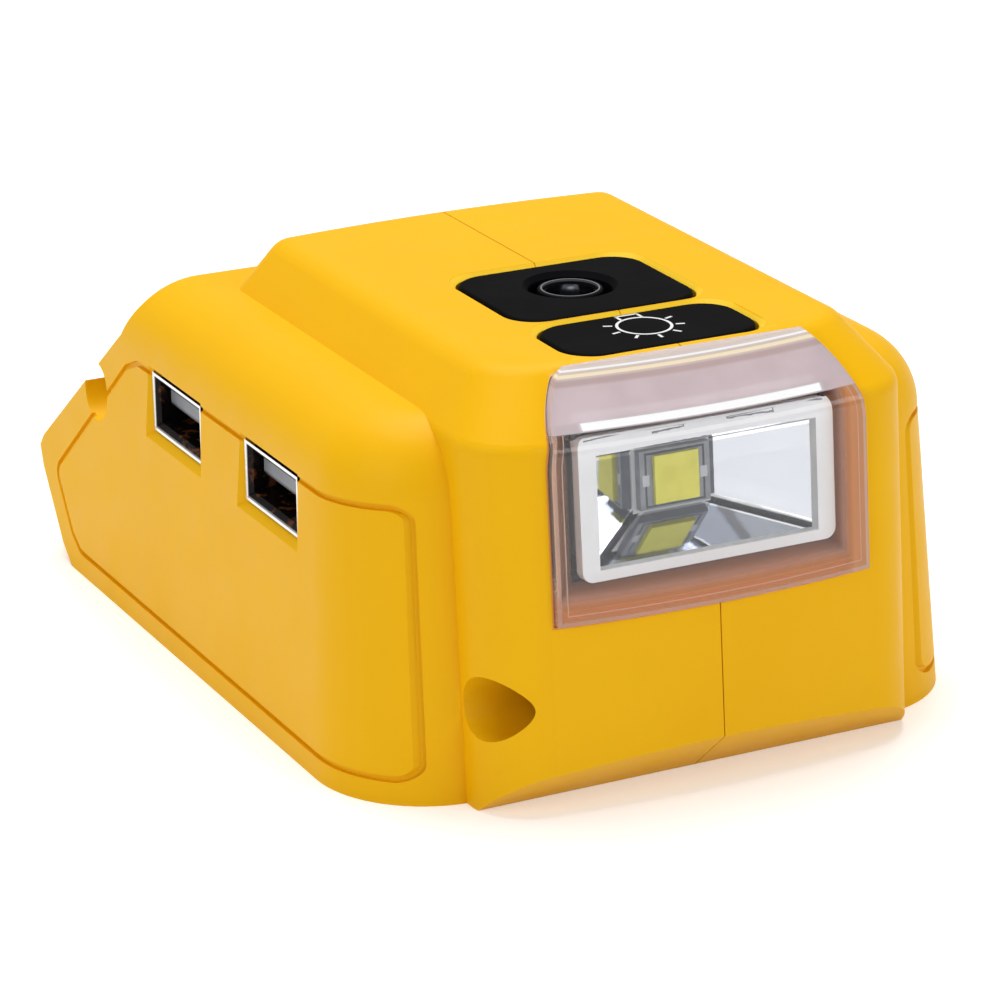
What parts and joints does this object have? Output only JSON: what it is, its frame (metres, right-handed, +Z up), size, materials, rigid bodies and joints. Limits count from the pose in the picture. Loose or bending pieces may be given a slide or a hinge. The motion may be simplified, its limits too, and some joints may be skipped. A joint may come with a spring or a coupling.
{
  "type": "usb battery adapter",
  "caption": "Slide-on power tool battery adapter with a yellow two-half housing, USB A sockets in one side, a round DC socket and lamp button on top and a front work light.",
  "frame": {"origin": "on the underside, in the middle of the overall length and width", "axes": "+Z up, -Y the way the work light shines, -X the side with the USB sockets"},
  "size_m": [0.0772, 0.1074, 0.0474],
  "materials": {
    "yellow_shell": "satin",
    "black_trim": "satin",
    "clear_lens": "polished",
    "lamp_white": "satin",
    "reflector_chrome": "polished",
    "led_ceramic": "matte",
    "phosphor": "matte",
    "led_board_metal": "satin",
    "socket_steel": "bright",
    "socket_tongue": "satin",
    "contact_metal": "bright",
    "bright_sleeve": "polished",
    "board_green": "satin",
    "part_black": "matte",
    "can_aluminium": "satin",
    "screw_steel": "satin",
    "lead_red": "satin",
    "lead_black": "satin"
  },
  "bodies": {
    "housing": {"battery_lead_minus": "lead_black", "battery_lead_plus": "lead_red", "capacitors": "can_aluminium", "coil": "part_black", "dc_jack_body": "black_trim", "dc_jack_pin": "bright_sleeve", "dc_jack_sleeve": "bright_sleeve", "housing_screws": "screw_steel", "jack_plate": "black_trim", "lamp_frame": "lamp_white", "led_board": "led_board_metal", "led_package": "led_ceramic", "led_phosphor": "phosphor", "left_shell": "yellow_shell", "lens_cover": "clear_lens", "main_board": "board_green", "main_board_screws": "screw_steel", "power_chips": "part_black", "reflector": "reflector_chrome", "right_shell": "yellow_shell", "switch_body": "part_black", "terminal_blades": "contact_metal", "terminal_block": "part_black", "upper_board": "board_green", "upper_board_screws": "screw_steel", "usb_contacts_front": "contact_metal", "usb_contacts_rear": "contact_metal", "usb_shell_front": "socket_steel", "usb_shell_rear": "socket_steel", "usb_tongue_front": "socket_tongue", "usb_tongue_rear": "socket_tongue"},
    "lamp_button": {"light_button": "black_trim", "switch_plunger": "lamp_white"}
  },
  "joints": [
    {"name": "lamp_press", "type": "slide", "parent": "housing", "child": "lamp_button", "axis": [0, 0, -1], "range_m": [0, 0.0006], "stiffness_N_per_m": 1000, "springref_m": -0.001}
  ]
}
